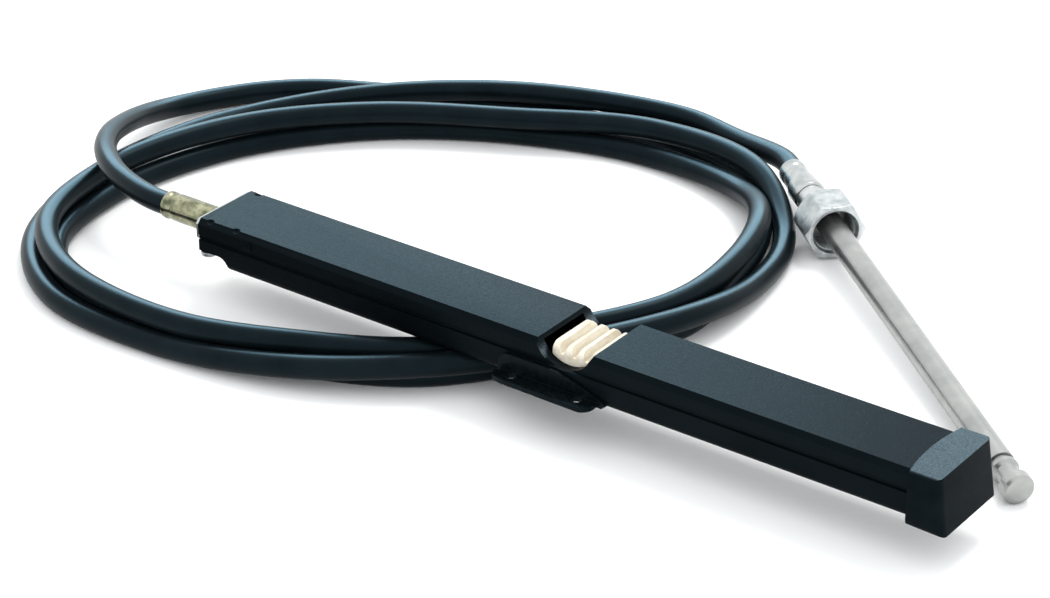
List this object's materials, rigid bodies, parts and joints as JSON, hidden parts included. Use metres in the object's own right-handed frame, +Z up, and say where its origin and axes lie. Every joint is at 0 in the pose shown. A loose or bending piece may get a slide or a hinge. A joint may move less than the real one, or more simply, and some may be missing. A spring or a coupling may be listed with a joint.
{
  "type": "boat steering cable",
  "caption": "Boat steering cable with a straight rack housing, a window for the helm pinion, a coiled jacketed cable and a sliding ram with a coupling nut.",
  "frame": {"origin": "on the rack housing's flat underside, on its centre line, at the middle of the rack assembly's length", "axes": "+X along the rack from the cable end to the end cap, +Y away from the mounting bracket, +Z up"},
  "size_m": [0.6992, 0.4333, 0.0542],
  "materials": {
    "black_finish": "satin",
    "cap_plastic": "fine texture",
    "block_plastic": "satin",
    "zinc": "satin",
    "black_steel": "satin",
    "screw_steel": "satin",
    "yellow_zinc": "bright plated",
    "rack_plastic": "glossy",
    "bracket_black": "gloss",
    "jacket": "matte",
    "bright_steel": "bright",
    "hub_steel": "satin",
    "nut_steel": "satin",
    "ram_steel": "satin"
  },
  "bodies": {
    "rack_housing": {"housing": "black_finish", "end_cap": "cap_plastic", "end_block": "block_plastic", "end_plate": "zinc", "side_plug": "black_steel", "end_screw": "screw_steel", "rack_ferrule": "yellow_zinc", "bracket": "bracket_black", "cable": "jacket", "output_ferrule": "bright_steel", "output_hub": "hub_steel"},
    "rack": {"gear_rack": "rack_plastic"},
    "output_ram": {"ram": "ram_steel", "ram_end": "ram_steel"},
    "nut": {"coupling_nut": "nut_steel"}
  },
  "joints": [
    {"name": "ram_slide", "type": "slide", "parent": "rack_housing", "child": "output_ram", "axis": [0.7721, -0.6346, -0.0345], "range_m": [0, 0.2286]},
    {"name": "rack_slide", "type": "slide", "parent": "rack_housing", "child": "rack", "axis": [-1, 0, 0], "range_m": [0, 0.2286]},
    {"name": "nut_spin", "type": "hinge", "parent": "rack_housing", "child": "nut", "pos_m": [0.00881, 0.25803, -0.00551], "axis": [0.7721, -0.6346, -0.0345], "continuous": true}
  ],
  "couplings": [
    {"joint": "rack_slide", "follows": "ram_slide", "ratio": 1}
  ]
}
